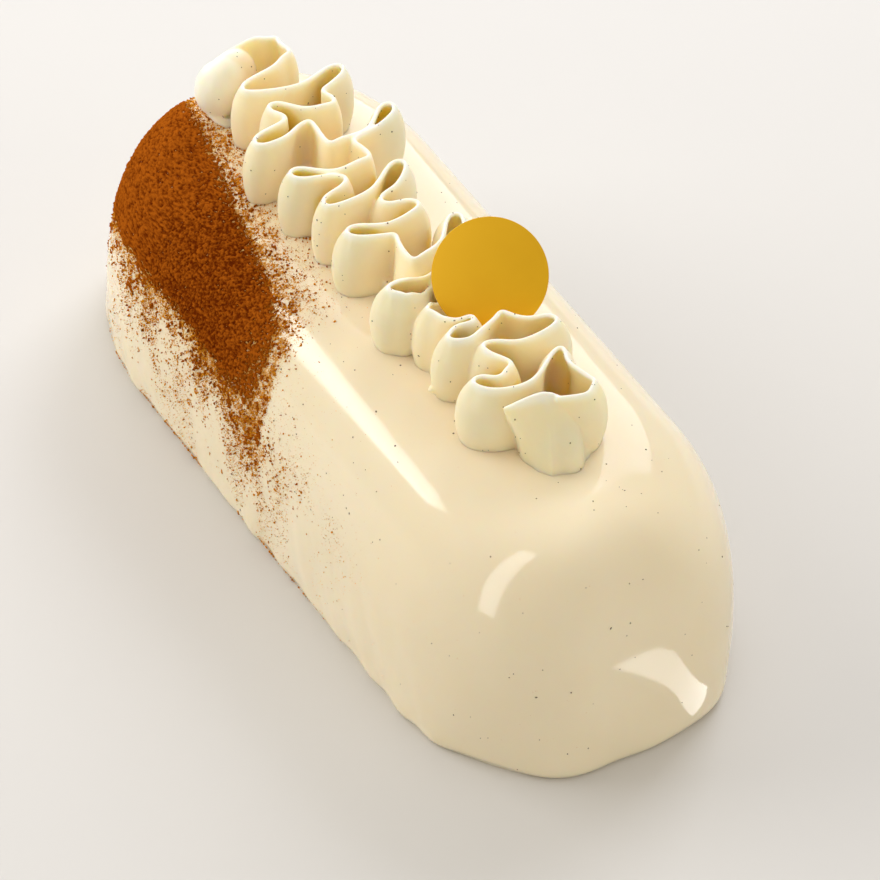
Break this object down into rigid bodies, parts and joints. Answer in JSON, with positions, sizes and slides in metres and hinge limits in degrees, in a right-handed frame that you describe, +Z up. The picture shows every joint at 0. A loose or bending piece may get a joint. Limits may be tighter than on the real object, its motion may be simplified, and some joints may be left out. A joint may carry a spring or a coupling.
{
  "type": "glazed log cake",
  "caption": "Round-ended log cake in a smooth pale vanilla glaze, with a piped cream ruffle along its top, cocoa dusted over one shoulder and a thin round tag.",
  "frame": {"origin": "centre of the loaf's foot, on the surface it stands on", "axes": "+Z up, +Y along the loaf from its near end to its far end, +X to the side away from the cocoa"},
  "size_m": [0.1, 0.24, 0.1031],
  "materials": {
    "glaze": "smooth pale vanilla mirror glaze with fine dark specks, cocoa powder over one shoulder",
    "cream": "satin whipped vanilla cream with a few fine dark specks",
    "tag": "satin gold"
  },
  "bodies": {
    "root": {"log": "glaze", "cream_ruffle": "cream", "tag": "tag"}
  },
  "joints": []
}
